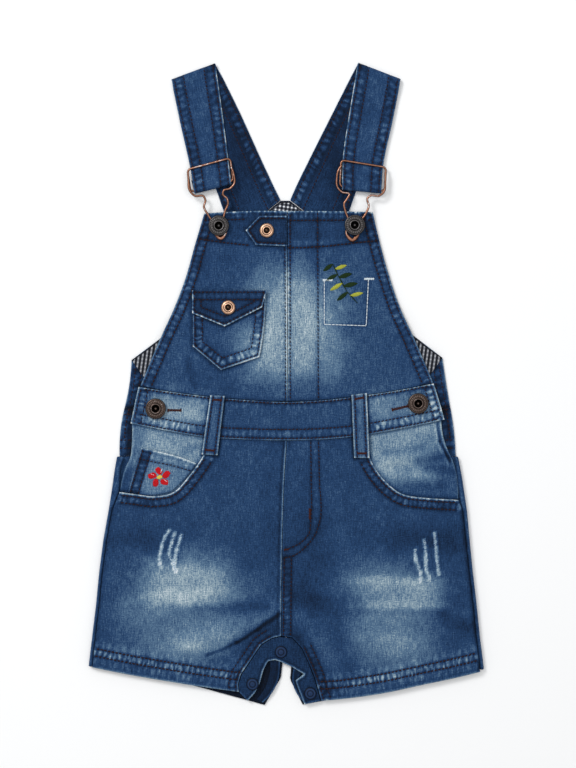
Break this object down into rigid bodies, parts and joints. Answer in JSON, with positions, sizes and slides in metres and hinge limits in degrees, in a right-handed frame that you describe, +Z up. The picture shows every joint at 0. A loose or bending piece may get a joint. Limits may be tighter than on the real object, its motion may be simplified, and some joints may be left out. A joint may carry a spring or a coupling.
{
  "type": "baby denim shortalls",
  "caption": "Baby bib shorts in washed denim, laid flat face up: adjustable straps with wire hooks, bib with flap pocket, scoop pockets and a snap crotch.",
  "frame": {"origin": "middle of the outline on the table: bounding box centre in x and y, underside of the cloth in z", "axes": "+Z up from the table through back and front; +Y from the leg hems towards the shoulders; +X towards the viewer's right"},
  "size_m": [0.2889, 0.4698, 0.0099],
  "materials": {
    "denim": "washed mid-blue twill with faded patches",
    "light_denim": "the same twill washed pale",
    "gingham": "small dark and white check, plain weave",
    "copper": "copper-plated wire and rings, satin",
    "antique_metal": "dark antique copper, satin",
    "enamel": "dark blue enamel, satin"
  },
  "bodies": {
    "root": {"back_bib": "denim", "back_waistband": "denim", "back_leg_left": "denim", "back_leg_right": "denim", "back_placket_left": "denim", "back_placket_right": "denim", "bib_left": "denim", "bib_right": "denim", "bib_tab": "denim", "chest_pocket": "denim", "pocket_flap": "denim", "coin_pocket": "denim", "waistband": "denim", "belt_loop_left": "denim", "belt_loop_right": "denim", "leg_front_left": "denim", "leg_front_right": "denim", "crotch_placket": "denim", "strap_left": "denim", "strap_right": "denim", "pocket_facing_left": "light_denim", "pocket_facing_right": "light_denim", "neck_facing": "gingham", "armhole_facing_left": "gingham", "armhole_facing_right": "gingham", "slide_left": "copper", "slide_right": "copper", "hook_left": "copper", "hook_right": "copper", "tab_button": "copper", "flap_button": "copper", "bib_button_left": "antique_metal", "bib_button_right": "antique_metal", "side_button_left": "antique_metal", "side_button_right": "antique_metal", "snap_centre": "enamel", "snap_left": "enamel", "snap_right": "enamel"}
  },
  "joints": []
}
